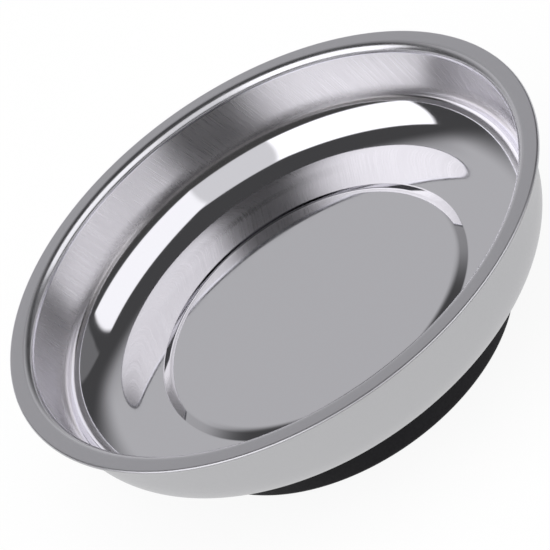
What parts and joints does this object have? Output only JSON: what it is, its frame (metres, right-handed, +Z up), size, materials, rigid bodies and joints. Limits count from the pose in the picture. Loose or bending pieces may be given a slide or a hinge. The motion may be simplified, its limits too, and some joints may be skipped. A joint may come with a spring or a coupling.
{
  "type": "round magnetic parts tray",
  "caption": "Round pressed steel dish with a flat hemmed rim and raised centre, clamped to a ring magnet in a rubber boot, for holding small screws and nuts.",
  "frame": {"origin": "centre of the rubber boot's resting face, on the bench", "axes": "+Z points up out of the dish along its axis of revolution; X and Y lie in the resting face, and the nut has two flats square to Y"},
  "size_m": [0.108, 0.108, 0.0291],
  "materials": {
    "stainless_dish": "brushed wall, polished corner and floor, satin rim and outside",
    "black_rubber": "moulded, matt",
    "ferrite": "ground ceramic, dark grey",
    "mild_steel": "punched plate, oiled",
    "zinc_steel": "bright zinc plate"
  },
  "bodies": {
    "root": {"dish": "stainless_dish", "rubber_boot": "black_rubber", "ring_magnet": "ferrite", "pole_disc": "mild_steel", "center_stud": "zinc_steel", "clamp_cup": "zinc_steel", "flat_washer": "zinc_steel", "lock_washer": "zinc_steel", "hex_nut": "zinc_steel"}
  },
  "joints": []
}
